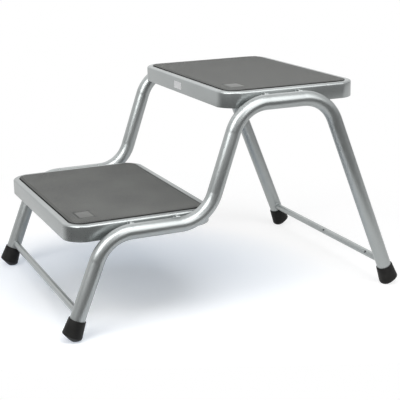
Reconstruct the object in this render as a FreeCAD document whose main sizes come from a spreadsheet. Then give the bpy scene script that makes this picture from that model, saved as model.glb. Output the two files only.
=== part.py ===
import FreeCAD, Part
import os
import Sketcher

# Portable double step: two bent side tubes carry two pressed step pans on weld tabs, and stand
# on rubber feet. X is the width, the front faces -Y, +Z is up, and the origin lies on the floor
# in the middle of the footprint. Lengths are in millimetres and angles in degrees.

SIZES = {
    # Side tubes: one bent tube each, from the front leg over both rails to the rear leg
    "tube_diameter": 28,
    "tube_wall": 1.5,
    "bend_radius": 72,
    "lower_rail_height": 184.5,
    "upper_rail_height": 389.2,
    "lower_rail_length": 191,
    "upper_rail_length": 174,
    "front_leg_lean": 22,
    "riser_lean": 19.4,
    "rear_leg_lean": 21.4,
    # Step pans: a skirt, a raised rim and a sunk deck pressed from one sheet
    "pan_width": 412,
    "pan_depth": 280,
    "pan_corner_radius": 35,
    "skirt_height": 30,
    "sheet_thickness": 1.2,
    "rim_width": 12,
    "rim_edge_radius": 4,
    "recess_depth": 4,
    "recess_edge_radius": 1,
    "lower_pan_rise": 15.4,
    "upper_pan_rise": 19,
    "lower_pan_advance": 17.2,
    "upper_pan_setback": 29,
    # Tread mats
    "mat_thickness": 4.5,
    "mat_gap": 1.5,
    # Weld tabs between a pan's side and its rail
    "rail_gap": 6.25,
    "tab_thickness": 4,
    "tab_height": 16,
    "tab_top_drop": 1,
    # Stiffeners: a hat section across the underside of each deck
    "stiffener_width": 30,
    "stiffener_height": 14,
    "stiffener_flange": 10,
    "stiffener_end_gap": 0.5,
    # Stretchers between the legs
    "stretcher_diameter": 13.5,
    "stretcher_wall": 1.2,
    "stretcher_foot_gap": 2.2,
    "vent_hole_diameter": 5,
    "vent_hole_tilt": 35,
    "middle_vent_offset": 6,
    "end_vent_inset": 55,
    # Rubber feet: a flared sleeve with a domed end that the floor flattens
    "foot_bore_gap": 0.2,
    "foot_wall": 1.9,
    "foot_flare": 2.6,
    "foot_sleeve_length": 29.5,
    "foot_dome_height": 12,
    "foot_flat_depth": 1.2,
    "foot_base_thickness": 14,
    "foot_edge_radius": 1.5,
    # Washers between a tube's end and the rubber
    "washer_thickness": 1.5,
    "washer_hole_diameter": 8,
}

# Sizes that follow from the ones above, worked out in the sheet
WORKED_OUT = {
    "rail_spacing": "pan_width + 2 * rail_gap + tube_diameter",
    "rail_offset": "rail_spacing / 2",
    "tube_radius": "tube_diameter / 2",
    "tube_bore": "tube_diameter - 2 * tube_wall",
    # Corners of the tube's centre line before bending, from the front foot to the rear foot
    "front_leg_run": "lower_rail_height * tan(front_leg_lean)",
    "riser_run": "(upper_rail_height - lower_rail_height) * tan(riser_lean)",
    "rear_leg_run": "upper_rail_height * tan(rear_leg_lean)",
    "footprint": "front_leg_run + lower_rail_length + riser_run + upper_rail_length + rear_leg_run",
    "front_floor": "-footprint / 2",
    "lower_rail_front": "front_floor + front_leg_run",
    "lower_rail_back": "lower_rail_front + lower_rail_length",
    "upper_rail_front": "lower_rail_back + riser_run",
    "upper_rail_back": "upper_rail_front + upper_rail_length",
    "rear_floor": "footprint / 2",
    # Length of a run that the bend at its end uses up
    "front_bend_length": "bend_radius * tan((90 - front_leg_lean) / 2)",
    "riser_bend_length": "bend_radius * tan((90 - riser_lean) / 2)",
    "rear_bend_length": "bend_radius * tan((90 - rear_leg_lean) / 2)",
    # Pans, mats and stiffeners, in the frame of the rim's top
    "lower_pan_height": "lower_rail_height + lower_pan_rise",
    "upper_pan_height": "upper_rail_height + upper_pan_rise",
    "lower_pan_middle": "(lower_rail_front + lower_rail_back) / 2 - lower_pan_advance",
    "upper_pan_middle": "(upper_rail_front + upper_rail_back) / 2 + upper_pan_setback",
    "skirt_bottom": "-skirt_height",
    "deck_bottom": "-(recess_depth + sheet_thickness)",
    "cavity_depth": "skirt_height - recess_depth - sheet_thickness",
    "cavity_width": "pan_width - 2 * sheet_thickness",
    "cavity_length": "pan_depth - 2 * sheet_thickness",
    "cavity_corner": "pan_corner_radius - sheet_thickness",
    "rim_inner_radius": "rim_edge_radius - sheet_thickness",
    "recess_width": "pan_width - 2 * rim_width",
    "recess_length": "pan_depth - 2 * rim_width",
    "recess_corner": "pan_corner_radius - rim_width",
    "recess_wall_width": "recess_width + 2 * sheet_thickness",
    "recess_wall_length": "recess_length + 2 * sheet_thickness",
    "recess_wall_corner": "recess_corner + sheet_thickness",
    "mat_width": "recess_width - 2 * mat_gap",
    "mat_length": "recess_length - 2 * mat_gap",
    "mat_corner": "recess_corner - mat_gap",
    "stiffener_length": "cavity_width - 2 * stiffener_end_gap",
    "stiffener_span": "stiffener_width + 2 * stiffener_flange",
    "gutter_width": "stiffener_width - 2 * sheet_thickness",
    "gutter_depth": "stiffener_height - sheet_thickness",
    # Weld tabs, at the ends of each rail's straight run
    "tab_length": "rail_offset - pan_width / 2",
    "tab_top": "tube_radius - tab_top_drop",
    "tab_cut_length": "2 * tab_thickness",
    "lower_front_tab_place": "lower_rail_front + front_bend_length + tab_thickness / 2",
    "lower_rear_tab_place": "lower_rail_back - riser_bend_length - tab_thickness / 2",
    "upper_front_tab_place": "upper_rail_front + riser_bend_length + tab_thickness / 2",
    "upper_rear_tab_place": "upper_rail_back - rear_bend_length - tab_thickness / 2",
    # Feet: heights run up the leg's axis from where it meets the floor
    "foot_bore_radius": "tube_radius + foot_bore_gap",
    "foot_top_radius": "foot_bore_radius + foot_wall",
    "foot_base_radius": "foot_top_radius + foot_flare",
    "foot_dome_radius": "(foot_base_radius ^ 2 + foot_dome_height ^ 2) / (2 * foot_dome_height)",
    "foot_base_drop": "foot_dome_radius - foot_dome_height",
    "front_foot_centre": "(foot_dome_radius - foot_flat_depth) / cos(front_leg_lean)",
    "rear_foot_centre": "(foot_dome_radius - foot_flat_depth) / cos(rear_leg_lean)",
    "front_foot_base": "front_foot_centre - foot_base_drop",
    "rear_foot_base": "rear_foot_centre - foot_base_drop",
    "front_foot_top": "front_foot_base + foot_sleeve_length",
    "rear_foot_top": "rear_foot_base + foot_sleeve_length",
    "front_bore_floor": "front_foot_centre - foot_dome_radius + foot_base_thickness",
    "rear_bore_floor": "rear_foot_centre - foot_dome_radius + foot_base_thickness",
    "ground_width": "4 * foot_base_radius",
    "washer_hole_radius": "washer_hole_diameter / 2",
    # Ends of the tube's centre line, on the washers
    "front_tube_end": "front_bore_floor + washer_thickness",
    "rear_tube_end": "rear_bore_floor + washer_thickness",
    "front_end_place": "front_floor + front_tube_end * sin(front_leg_lean)",
    "front_end_height": "front_tube_end * cos(front_leg_lean)",
    "rear_end_place": "rear_floor - rear_tube_end * sin(rear_leg_lean)",
    "rear_end_height": "rear_tube_end * cos(rear_leg_lean)",
    # Stretchers, just above the feet
    "stretcher_radius": "stretcher_diameter / 2",
    "stretcher_bore_radius": "stretcher_radius - stretcher_wall",
    "stretcher_rise": "stretcher_radius + stretcher_foot_gap",
    "front_stretcher_height": "front_foot_top * cos(front_leg_lean) + stretcher_rise",
    "rear_stretcher_height": "rear_foot_top * cos(rear_leg_lean) + stretcher_rise",
    "front_stretcher_place": "front_floor + front_stretcher_height * tan(front_leg_lean)",
    "rear_stretcher_place": "rear_floor - rear_stretcher_height * tan(rear_leg_lean)",
    "leg_tool_length": "4 * stretcher_diameter",
    "vent_hole_radius": "vent_hole_diameter / 2",
    "end_vent_offset": "rail_offset - end_vent_inset",
}

SIDES = {"left": "-Sizes.rail_offset", "right": "Sizes.rail_offset"}
STEPS = ("lower", "upper")
ENDS = ("front", "rear")
VENTS = ("middle_vent", "end_vent")

# Yaw, pitch and roll
UPRIGHT = "0; 0; 0"
ABOUT_FACE = "180; 0; 0"
ALONG_X = "0; 90; 0"
ALONG_Y = "0; 0; -90"

# Points of a sketch: a curve's number and one of these, with fixed numbers for the sketch's own axes
START, END, CENTRE = 1, 2, 3
ORIGIN = (-1, 1)
VERTICAL_AXIS = -2
SKETCH_NORMAL = FreeCAD.Vector(0, 0, 1)

NEAR_ZERO = 1e-6

doc = FreeCAD.newDocument("double_step")


def fill_sheet():
    """Put the driving sizes in a sheet, and below them the sizes worked out from them."""
    filled = doc.addObject("Spreadsheet::Sheet", "Sizes")
    cells = {name: str(value) for name, value in SIZES.items()}
    cells.update({name: "=" + formula for name, formula in WORKED_OUT.items()})
    for row, (name, content) in enumerate(cells.items(), start=1):
        filled.set(f"A{row}", name)
        filled.set(f"B{row}", content)
        filled.setAlias(f"B{row}", name)
    doc.recompute()
    return filled


sheet = fill_sheet()


def size(name):
    return float(sheet.get(name))


def bind(thing, path, name):
    thing.setExpression(path, "Sizes." + name)


def place(thing, x="0", y="0", z="0", turn=UPRIGHT):
    """Bind a piece's place and its yaw, pitch and roll."""
    thing.setExpression("Placement", f"placement(vector({x}; {y}; {z}); rotation({turn}))")


def leg_turn(end):
    """The turn of a leg's own frame, whose +Z runs up the leaning leg."""
    yaw = "0" if end == "front" else "180"
    return f"{yaw}; 0; -Sizes.{end}_leg_lean"


# Sketches

def new_body(label):
    body = doc.addObject("PartDesign::Body", label)
    body.Label = label
    return body


def new_sketch(body, name, role):
    sketch = body.newObject("Sketcher::SketchObject", name)
    plane = next(feature for feature in body.Origin.OriginFeatures if feature.Role == role)
    sketch.AttachmentSupport = [(plane, "")]
    sketch.MapMode = "FlatFace"
    return sketch


def relate(sketch, kind, *places):
    return sketch.addConstraint(Sketcher.Constraint(kind, *places))


def join(sketch, point, other):
    relate(sketch, "Coincident", *point, *other)


def fix(sketch, kind, places, name):
    """Add a dimension to a sketch and bind it to a size."""
    index = relate(sketch, kind, *places, size(name))
    bind(sketch, f"Constraints[{index}]", name)


def across(sketch, curve, point, name):
    """Dimension how far a point lies to the right of the sketch's origin."""
    fix(sketch, "DistanceX", (*ORIGIN, curve, point), name)


def above(sketch, curve, point, name):
    """Dimension how far a point lies above the sketch's origin."""
    fix(sketch, "DistanceY", (*ORIGIN, curve, point), name)


def spot(x, y):
    return FreeCAD.Vector(x, y, 0)


def add_line(sketch, start, end):
    return sketch.addGeometry(Part.LineSegment(start, end))


def add_arc(sketch, centre, start, end):
    """An arc that runs anticlockwise from one point to another."""
    circle = Part.Circle(centre, SKETCH_NORMAL, (start - centre).Length)
    return sketch.addGeometry(Part.ArcOfCircle(circle, circle.parameter(start), circle.parameter(end)))


def rounded_rectangle(sketch, width, length, radius):
    """A rectangle with round corners about the sketch's origin, from three named sizes."""
    side = size(width) / 2
    end = size(length) / 2
    flat_x = side - size(radius)
    flat_y = end - size(radius)
    bottom = add_line(sketch, spot(-flat_x, -end), spot(flat_x, -end))
    right = add_line(sketch, spot(side, -flat_y), spot(side, flat_y))
    top = add_line(sketch, spot(flat_x, end), spot(-flat_x, end))
    left = add_line(sketch, spot(-side, flat_y), spot(-side, -flat_y))
    corners = [
        add_arc(sketch, spot(flat_x, -flat_y), spot(flat_x, -end), spot(side, -flat_y)),
        add_arc(sketch, spot(flat_x, flat_y), spot(side, flat_y), spot(flat_x, end)),
        add_arc(sketch, spot(-flat_x, flat_y), spot(-flat_x, end), spot(-side, flat_y)),
        add_arc(sketch, spot(-flat_x, -flat_y), spot(-side, -flat_y), spot(-flat_x, -end)),
    ]
    runs = [bottom, right, top, left]
    for arc, run, following in zip(corners, runs, runs[1:] + runs[:1]):
        relate(sketch, "Tangent", run, END, arc, START)
        relate(sketch, "Tangent", arc, END, following, START)
    relate(sketch, "Horizontal", bottom)
    relate(sketch, "Horizontal", top)
    relate(sketch, "Vertical", right)
    relate(sketch, "Vertical", left)
    for arc in corners[1:]:
        relate(sketch, "Equal", corners[0], arc)
    relate(sketch, "Symmetric", corners[0], CENTRE, corners[2], CENTRE, *ORIGIN)
    fix(sketch, "Radius", (corners[0],), radius)
    fix(sketch, "DistanceX", (left, END, right, START), width)
    fix(sketch, "DistanceY", (bottom, START, top, END), length)


# Features and solids

def pad(body, name, sketch, height, upward=True):
    added = body.newObject("PartDesign::Pad", name)
    added.Profile = sketch
    added.Reversed = not upward
    bind(added, "Length", height)
    return added


def pocket(body, name, sketch, depth, upward):
    """Cut a sketch into a body, up from the sketch's plane or down from it."""
    before = shape_volume(body)
    removed = body.newObject("PartDesign::Pocket", name)
    removed.Profile = sketch
    removed.Reversed = upward
    bind(removed, "Length", depth)
    if shape_volume(body) >= before:
        raise RuntimeError(f"{body.Label}: {name} cuts nothing")
    return removed


def shape_volume(body):
    doc.recompute()
    return body.Shape.Volume


def round_edges(body, feature, name, radius, wanted):
    """Round the edges of a feature that pass a test."""
    doc.recompute()
    edges = enumerate(feature.Shape.Edges, start=1)
    fillet = body.newObject("PartDesign::Fillet", name)
    fillet.Base = (feature, [f"Edge{number}" for number, edge in edges if wanted(edge)])
    bind(fillet, "Radius", radius)
    return fillet


def lies_at(edge, height):
    box = edge.BoundBox
    return abs(box.ZMin - height) < NEAR_ZERO and abs(box.ZMax - height) < NEAR_ZERO


def reaches(edge, width, length):
    """True for an edge that comes out to the sides or ends of a named rectangle."""
    box = edge.BoundBox
    side = max(abs(box.XMin), abs(box.XMax))
    end = max(abs(box.YMin), abs(box.YMax))
    return side > size(width) / 2 - NEAR_ZERO or end > size(length) / 2 - NEAR_ZERO


def new_box(name, length, width, height):
    """A box hanging below its own origin, centred on it in X and Y."""
    box = doc.addObject("Part::Box", name)
    bind(box, "Length", length)
    bind(box, "Width", width)
    bind(box, "Height", height)
    place(box, f"-Sizes.{length} / 2", f"-Sizes.{width} / 2", f"-Sizes.{height}")
    return box


def new_cylinder(name, radius, length):
    cylinder = doc.addObject("Part::Cylinder", name)
    bind(cylinder, "Radius", radius)
    bind(cylinder, "Height", length)
    return cylinder


def cut(label, base, tool):
    result = doc.addObject("Part::Cut", label)
    result.Label = label
    result.Base = base
    result.Tool = tool
    return result


# Side tubes

def side_tube(side):
    """One tube, swept along its bent centre line."""
    body = new_body(f"{side}_side_tube")
    path = tube_path(body)
    doc.recompute()
    section = body.newObject("Sketcher::SketchObject", "Section")
    section.AttachmentSupport = [(path, "Edge1")]
    section.MapMode = "NormalToEdge"
    for diameter in ("tube_diameter", "tube_bore"):
        ring = section.addGeometry(Part.Circle(spot(0, 0), SKETCH_NORMAL, size(diameter) / 2))
        join(section, (ring, CENTRE), ORIGIN)
        fix(section, "Diameter", (ring,), diameter)
    tube = body.newObject("PartDesign::AdditivePipe", "Tube")
    tube.Profile = section
    tube.Spine = path
    place(body, x=SIDES[side])
    return body


def tube_path(body):
    """The centre line in the YZ plane: five straight runs, on guides, joined by tangent bends."""
    sketch = new_sketch(body, "CentreLine", "YZ_Plane")
    corner_names = [
        ("front_end_place", "front_end_height"),
        ("lower_rail_front", "lower_rail_height"),
        ("lower_rail_back", "lower_rail_height"),
        ("upper_rail_front", "upper_rail_height"),
        ("upper_rail_back", "upper_rail_height"),
        ("rear_end_place", "rear_end_height"),
    ]
    bend_names = ["front_bend_length", "riser_bend_length", "riser_bend_length", "rear_bend_length"]
    corners = [spot(size(along), size(up)) for along, up in corner_names]
    bends = [size(name) for name in bend_names]
    bent = corners[1:-1]
    before = [toward(corner, last, bend) for corner, last, bend in zip(bent, corners, bends)]
    after = [toward(corner, following, bend) for corner, following, bend in zip(bent, corners[2:], bends)]
    run_starts = corners[:1] + after
    run_ends = before + corners[-1:]
    runs = [add_line(sketch, start, end) for start, end in zip(run_starts, run_ends)]
    guides = [add_line(sketch, start, end) for start, end in zip(corners, corners[1:])]
    for guide, names in zip(guides, corner_names):
        sketch.setConstruction(guide, True)
        fix_corner(sketch, guide, START, names)
    fix_corner(sketch, guides[-1], END, corner_names[-1])
    for guide, following in zip(guides, guides[1:]):
        join(sketch, (guide, END), (following, START))
    join(sketch, (runs[0], START), (guides[0], START))
    join(sketch, (runs[-1], END), (guides[-1], END))
    for run, guide in zip(runs[1:], guides[1:]):
        relate(sketch, "PointOnObject", run, START, guide)
    for run, guide in zip(runs[:-1], guides[:-1]):
        relate(sketch, "PointOnObject", run, END, guide)
    for run, following, start, corner, end in zip(runs, runs[1:], before, bent, after):
        add_bend(sketch, run, following, start, corner, end)
    return sketch


def fix_corner(sketch, guide, point, names):
    across(sketch, guide, point, names[0])
    above(sketch, guide, point, names[1])


def toward(start, end, distance):
    return start + (end - start).normalize() * distance


def add_bend(sketch, run, following, start, corner, end):
    """Round the corner between two runs, from one tangent point to the other."""
    radius = size("bend_radius")
    corner_to_centre = ((start - corner).Length ** 2 + radius ** 2) ** 0.5
    chord_middle = (start + end) * 0.5
    on_bend = toward(corner, chord_middle, corner_to_centre - radius)
    arc = sketch.addGeometry(Part.Arc(start, on_bend, end))
    starts_here = (sketch.getPoint(arc, START) - start).Length < NEAR_ZERO
    near_end, far_end = (START, END) if starts_here else (END, START)
    relate(sketch, "Tangent", run, END, arc, near_end)
    relate(sketch, "Tangent", arc, far_end, following, START)
    fix(sketch, "Radius", (arc,), "bend_radius")


# Step pans, tread mats and stiffeners

def place_on_step(piece, step, height="0"):
    place(piece, y=f"Sizes.{step}_pan_middle", z=f"Sizes.{step}_pan_height + {height}")


def step_pan(step):
    """A pressed tray, open below: its own origin is the middle of the rim's top."""
    body = new_body(f"{step}_step_pan")
    outline = new_sketch(body, "Outline", "XY_Plane")
    rounded_rectangle(outline, "pan_width", "pan_depth", "pan_corner_radius")
    block = pad(body, "Block", outline, "skirt_height", upward=False)
    round_edges(body, block, "RimEdge", "rim_edge_radius", lambda edge: lies_at(edge, 0))

    cavity_outline = new_sketch(body, "CavityOutline", "XY_Plane")
    bind(cavity_outline, "AttachmentOffset.Base.z", "skirt_bottom")
    rounded_rectangle(cavity_outline, "cavity_width", "cavity_length", "cavity_corner")
    pocket(body, "Cavity", cavity_outline, "cavity_depth", upward=True)

    channel_outline = new_sketch(body, "RimChannelOutline", "XY_Plane")
    bind(channel_outline, "AttachmentOffset.Base.z", "deck_bottom")
    rounded_rectangle(channel_outline, "cavity_width", "cavity_length", "cavity_corner")
    rounded_rectangle(channel_outline, "recess_wall_width", "recess_wall_length", "recess_wall_corner")
    channel = pocket(body, "RimChannel", channel_outline, "recess_depth", upward=True)

    def under_rim_edge(edge):
        return lies_at(edge, -size("sheet_thickness")) and reaches(edge, "cavity_width", "cavity_length")

    round_edges(body, channel, "RimInside", "rim_inner_radius", under_rim_edge)

    recess_outline = new_sketch(body, "RecessOutline", "XY_Plane")
    rounded_rectangle(recess_outline, "recess_width", "recess_length", "recess_corner")
    recess = pocket(body, "Recess", recess_outline, "recess_depth", upward=False)

    def recess_lip(edge):
        return lies_at(edge, 0) and not reaches(edge, "recess_wall_width", "recess_wall_length")

    round_edges(body, recess, "RecessLip", "recess_edge_radius", recess_lip)
    place_on_step(body, step)
    return body


def tread_mat(step):
    body = new_body(f"{step}_tread_mat")
    outline = new_sketch(body, "Outline", "XY_Plane")
    rounded_rectangle(outline, "mat_width", "mat_length", "mat_corner")
    pad(body, "Mat", outline, "mat_thickness")
    place_on_step(body, step, "-Sizes.recess_depth")
    return body


def pan_stiffener(step):
    """A hat section along X whose flanges lie against the deck's underside."""
    name = f"{step}_pan_stiffener"
    plate = new_box(f"{name}_plate", "stiffener_length", "stiffener_span", "sheet_thickness")
    channel = new_box(f"{name}_channel", "stiffener_length", "stiffener_width", "stiffener_height")
    gutter = new_box(f"{name}_gutter", "stiffener_length", "gutter_width", "gutter_depth")
    hat = doc.addObject("Part::Fuse", f"{name}_hat")
    hat.Base = plate
    hat.Tool = channel
    stiffener = cut(name, hat, gutter)
    place_on_step(stiffener, step, "Sizes.deck_bottom")
    return stiffener


# Weld tabs

def weld_tab(step, end, side):
    """A small plate from a pan's skirt to its rail, hollowed to the rail's round side."""
    name = f"{step}_{side}_{end}_tab"
    plate = new_box(f"{name}_plate", "tab_length", "tab_thickness", "tab_height")
    place(plate, "-Sizes.tab_length", "-Sizes.tab_thickness / 2", "Sizes.tab_top - Sizes.tab_height")
    rail = new_cylinder(f"{name}_rail", "tube_radius", "tab_cut_length")
    place(rail, y="-Sizes.tab_cut_length / 2", turn=ALONG_Y)
    tab = cut(name, plate, rail)
    facing = UPRIGHT if side == "right" else ABOUT_FACE
    place(tab, SIDES[side], f"Sizes.{step}_{end}_tab_place", f"Sizes.{step}_rail_height", facing)
    return tab


# Feet and their washers

def rubber_foot(end, side):
    """A flared sleeve with a domed end, made along its leaning leg and cut flat by the floor."""
    name = f"{end}_{side}_foot"
    body = new_body(f"{name}_rubber")
    section = foot_section(body, end)
    rubber = body.newObject("PartDesign::Revolution", "Rubber")
    rubber.Profile = section
    rubber.ReferenceAxis = (section, ["V_Axis"])
    base_height = size(f"{end}_foot_base")
    round_edges(body, rubber, "BaseEdge", "foot_edge_radius", lambda edge: lies_at(edge, base_height))
    place(body, SIDES[side], f"Sizes.{end}_floor", turn=leg_turn(end))
    ground = new_box(f"{name}_ground", "ground_width", "ground_width", "foot_dome_radius")
    half_ground = "Sizes.ground_width / 2"
    place(ground, f"{SIDES[side]} - {half_ground}", f"Sizes.{end}_floor - {half_ground}",
          "-Sizes.foot_dome_radius")
    return cut(name, body, ground)


def foot_section(body, end):
    """Half of the foot's section: mouth, flank, dome, axis, then the bore's floor and side."""
    section = new_sketch(body, "Section", "XZ_Plane")
    bore = size("foot_bore_radius")
    base_edge = spot(size("foot_base_radius"), size(f"{end}_foot_base"))
    top_edge = spot(size("foot_top_radius"), size(f"{end}_foot_top"))
    bore_edge = spot(bore, size(f"{end}_foot_top"))
    bore_foot = spot(bore, size(f"{end}_bore_floor"))
    bore_middle = spot(0, size(f"{end}_bore_floor"))
    dome_centre = spot(0, size(f"{end}_foot_centre"))
    tip = dome_centre - spot(0, size("foot_dome_radius"))
    mouth = add_line(section, bore_edge, top_edge)
    flank = add_line(section, top_edge, base_edge)
    dome = add_arc(section, dome_centre, tip, base_edge)
    axis = add_line(section, tip, bore_middle)
    bore_floor = add_line(section, bore_middle, bore_foot)
    bore_side = add_line(section, bore_foot, bore_edge)
    join(section, (mouth, END), (flank, START))
    join(section, (flank, END), (dome, END))
    join(section, (dome, START), (axis, START))
    join(section, (axis, END), (bore_floor, START))
    join(section, (bore_floor, END), (bore_side, START))
    join(section, (bore_side, END), (mouth, START))
    relate(section, "Horizontal", mouth)
    relate(section, "Horizontal", bore_floor)
    relate(section, "Vertical", bore_side)
    relate(section, "PointOnObject", dome, CENTRE, VERTICAL_AXIS)
    relate(section, "PointOnObject", axis, START, VERTICAL_AXIS)
    relate(section, "PointOnObject", axis, END, VERTICAL_AXIS)
    across(section, mouth, START, "foot_bore_radius")
    across(section, mouth, END, "foot_top_radius")
    across(section, flank, END, "foot_base_radius")
    above(section, mouth, START, f"{end}_foot_top")
    above(section, flank, END, f"{end}_foot_base")
    above(section, dome, CENTRE, f"{end}_foot_centre")
    above(section, bore_floor, START, f"{end}_bore_floor")
    return section


def foot_washer(end, side):
    name = f"{end}_{side}_foot_washer"
    disc = new_cylinder(f"{name}_disc", "tube_radius", "washer_thickness")
    hole = new_cylinder(f"{name}_hole", "washer_hole_radius", "washer_thickness")
    for piece in (disc, hole):
        place(piece, z=f"Sizes.{end}_bore_floor")
    washer = cut(name, disc, hole)
    place(washer, SIDES[side], f"Sizes.{end}_floor", turn=leg_turn(end))
    return washer


# Stretchers

def stretcher(end):
    """A thin tube between two legs, its ends hollowed to the legs' round sides."""
    name = f"{end}_stretcher"
    outside = new_cylinder(f"{name}_outside", "stretcher_radius", "rail_spacing")
    bore = new_cylinder(f"{name}_bore", "stretcher_bore_radius", "rail_spacing")
    for piece in (outside, bore):
        place(piece, "-Sizes.rail_offset", turn=ALONG_X)
    tools = [bore]
    if end == "rear":
        tools += [vent_tool(name, vent) for vent in VENTS]
    tools += [leg_tool(name, end, side) for side in SIDES]
    tube = outside
    for tool in tools[:-1]:
        tube = cut(f"{tool.Label}_cut", tube, tool)
    tube = cut(name, tube, tools[-1])
    place(tube, y=f"Sizes.{end}_stretcher_place", z=f"Sizes.{end}_stretcher_height")
    return tube


def leg_tool(name, end, side):
    """A leg's outside, with its middle on the stretcher's axis."""
    leg = new_cylinder(f"{name}_{side}_leg", "tube_radius", "leg_tool_length")
    backward = "-" if end == "front" else ""
    half_length = "Sizes.leg_tool_length / 2"
    lean = f"Sizes.{end}_leg_lean"
    place(leg, SIDES[side], f"{backward}{half_length} * sin({lean})", f"-{half_length} * cos({lean})",
          leg_turn(end))
    return leg


def vent_tool(name, vent):
    """A drilled hole through the wall that faces forward and up."""
    hole = new_cylinder(f"{name}_{vent}", "vent_hole_radius", "stretcher_diameter")
    place(hole, f"Sizes.{vent}_offset", turn="0; 0; 90 - Sizes.vent_hole_tilt")
    return hole


# The whole step

def all_pieces():
    made = [side_tube(side) for side in SIDES]
    made += [stretcher(end) for end in ENDS]
    for step in STEPS:
        made += [step_pan(step), tread_mat(step), pan_stiffener(step)]
        made += [weld_tab(step, end, side) for end in ENDS for side in SIDES]
    for end in ENDS:
        for side in SIDES:
            made += [rubber_foot(end, side), foot_washer(end, side)]
    return made


def check(made):
    """Stop if anything failed to build."""
    doc.recompute()
    for thing in doc.Objects:
        if "Invalid" in thing.State or "Error" in thing.State:
            raise RuntimeError(f"{thing.Label} failed: {thing.State}")
    for piece in made:
        if piece.Shape.isNull() or not piece.Shape.isValid() or len(piece.Shape.Solids) != 1:
            raise RuntimeError(f"{piece.Label} isn't one valid solid")


pieces = all_pieces()
check(pieces)
os.makedirs("parts", exist_ok=True)
for piece in pieces:
    piece.Shape.exportStep(f"parts/{piece.Label}.step")
    print(piece.Label, round(piece.Shape.Volume), "mm3")
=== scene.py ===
import math

import bmesh
import bpy
from mathutils import Matrix, Vector


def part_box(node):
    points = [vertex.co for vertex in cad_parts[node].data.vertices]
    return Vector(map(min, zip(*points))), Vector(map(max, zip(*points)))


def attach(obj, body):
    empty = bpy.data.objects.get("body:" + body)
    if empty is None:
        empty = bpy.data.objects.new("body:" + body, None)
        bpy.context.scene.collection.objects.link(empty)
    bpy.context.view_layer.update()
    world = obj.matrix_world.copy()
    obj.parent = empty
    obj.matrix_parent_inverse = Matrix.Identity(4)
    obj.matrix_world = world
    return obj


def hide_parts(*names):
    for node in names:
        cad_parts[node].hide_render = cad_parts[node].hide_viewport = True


# Portable double step: two bent side tubes, two pressed pans with rubber tread mats, thin
# stretchers and black rubber feet. Lengths are in metres; X is the width, the front faces -Y
# and +Z is up.

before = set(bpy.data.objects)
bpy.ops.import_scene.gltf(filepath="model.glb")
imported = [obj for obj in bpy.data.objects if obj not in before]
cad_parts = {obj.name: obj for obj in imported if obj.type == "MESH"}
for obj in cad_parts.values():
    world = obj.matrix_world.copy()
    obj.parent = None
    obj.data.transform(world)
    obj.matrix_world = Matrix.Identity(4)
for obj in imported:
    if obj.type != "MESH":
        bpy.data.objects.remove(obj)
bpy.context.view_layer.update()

MM = 0.001
BODY = "root"
SIDES = ("left", "right")
STEPS = ("lower", "upper")
ENDS = ("front", "rear")

# Side tubes
TUBE_RADIUS = 14 * MM
TUBE_WALL = 1.5 * MM
TUBE_SIDES = 48
BEND_RADIUS = 72 * MM
BEND_STEPS = 18
BEND_FLATTEN = 0.03
BEND_SPREAD = 0.012
DIE_MARK_DEPTH = 0.007
DIE_MARK_WIDTH = 1.2 * MM
RAIL_OFFSET = 226.25 * MM
LOWER_RAIL_HEIGHT = 184.5 * MM
UPPER_RAIL_HEIGHT = 389.2 * MM
LOWER_RAIL_LENGTH = 191 * MM
UPPER_RAIL_LENGTH = 174 * MM
WASHER_THICKNESS = 1.5 * MM
LEAN = {"front": math.radians(22), "riser": math.radians(19.4), "rear": math.radians(21.4)}

# Step pans
SHEET = 1.2 * MM
PAN_CORNER = 35 * MM
PAN_CORNER_STEPS = 18
PAN_CORNER_PROFILE = 0.44
RIM_WIDTH = 12 * MM
RIM_EDGE_RADIUS = 4 * MM
RIM_EDGE_STEPS = 7
RECESS_DEPTH = 4 * MM
RECESS_LIP_RADIUS = 1.3 * MM
RAW_EDGE_RADIUS = 0.3 * MM

# Stiffeners under the pans
STIFFENER_FLANGE = 10 * MM
STIFFENER_BEND = 2.5 * MM

# Tread mats
MAT_CORNER = 21.5 * MM
MAT_EDGE_RADIUS = 0.35 * MM
MAT_PROUD = 0.8 * MM
STUD_PITCH = 3.6 * MM
STUD_SLOPE = 0.75 * MM
STUD_HEIGHT = 0.45 * MM
MAT_BORDER = 4.5 * MM
PANEL_SIZE = Vector((37 * MM, 27 * MM))
PANEL_FROM_SIDE = 50 * MM
PANEL_FROM_FRONT = 36 * MM
PANEL_CLEAR = 1.2 * MM
PANEL_RISE = 0.8
PANEL_CUT_REACH = 0.72 * STUD_PITCH
WHOLE_STUD = 0.98
# How pale the plain panel is coloured, more on the upper step than on the lower.
PANEL_PALENESS = {"lower": 1.5, "upper": 2.5}

# Weld tabs and welds
TAB_THICKNESS = 4 * MM
TAB_HEIGHT = 16 * MM
TAB_TOP = 13 * MM
TAB_EDGE_RADIUS = 0.6 * MM
TAB_ROWS = 8
BEAD_RADIUS = 1.5 * MM
BEAD_SIDES = 10
BEAD_STEPS = 14
BEAD_RIPPLE = 0.16
RING_RIPPLES = 24
CAP_PLACE = (-13 * MM, 0, 12 * MM)
CAP_HALF_SIZE = (7.5 * MM, 2.2 * MM, 3.2 * MM)

# Stretchers
STRETCHER_RADIUS = 6.75 * MM
STRETCHER_WALL = 1.2 * MM
STRETCHER_SIDES = 32
VENT_RADIUS = 2.5 * MM
VENT_TILT = math.radians(35)
VENT_PLACES = (6 * MM, 171.25 * MM)
VENT_SIDES = 20

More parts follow.
